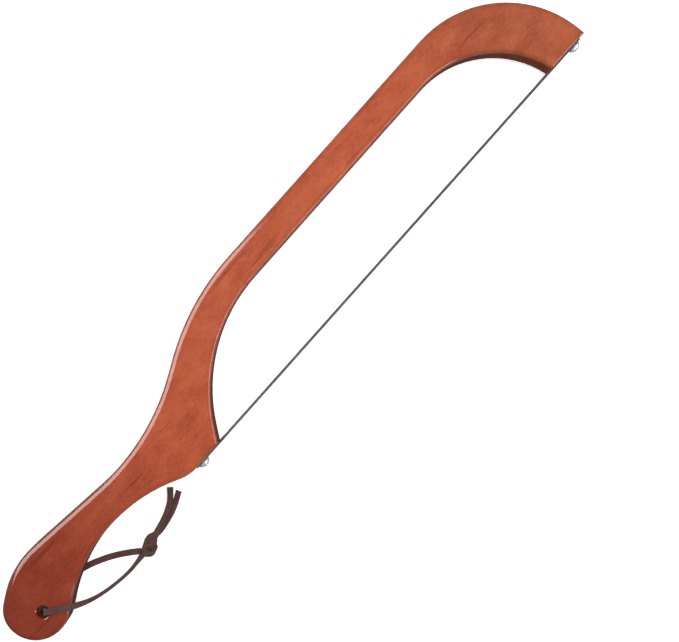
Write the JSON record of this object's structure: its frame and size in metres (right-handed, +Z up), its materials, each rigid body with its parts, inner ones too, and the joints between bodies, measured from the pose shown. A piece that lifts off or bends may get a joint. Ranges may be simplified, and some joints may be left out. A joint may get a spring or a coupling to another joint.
{
  "type": "bow bread knife",
  "caption": "Left-handed bow bread saw: one-piece wooden bow with a shaped handle, thin scalloped blade screwed across its seats, and a knotted suede lace through the hang hole.",
  "frame": {"origin": "middle of the footprint without the lace, on the surface that the tooth tips stand on", "axes": "+X along the blade from the handle end to the far end, +Y from the blade towards the bow's arm, +Z up through the board, away from the teeth"},
  "size_m": [0.408, 0.0712, 0.0228],
  "materials": {
    "frame_wood": "mahogany-stained hardwood under satin lacquer",
    "blade_steel": "thin stainless strip, lightly brushed",
    "screw_metal": "bright nickel plate",
    "lace_suede": "dark brown suede, napped, square-cut edges"
  },
  "bodies": {
    "bow": {"bow_frame": "frame_wood", "blade": "blade_steel", "heel_screw": "screw_metal", "tip_screw": "screw_metal"},
    "lanyard": {"lanyard_upper_strand": "lace_suede", "lanyard_lower_strand": "lace_suede", "lanyard_knot": "lace_suede", "lanyard_tail_a": "lace_suede", "lanyard_tail_b": "lace_suede"}
  },
  "joints": [
    {"name": "lanyard_swing", "type": "hinge", "parent": "bow", "child": "lanyard", "pos_m": [-0.18635, -0.0177, 0.0115], "axis": [0, 0, 1], "range_deg": [-90, 0]}
  ]
}
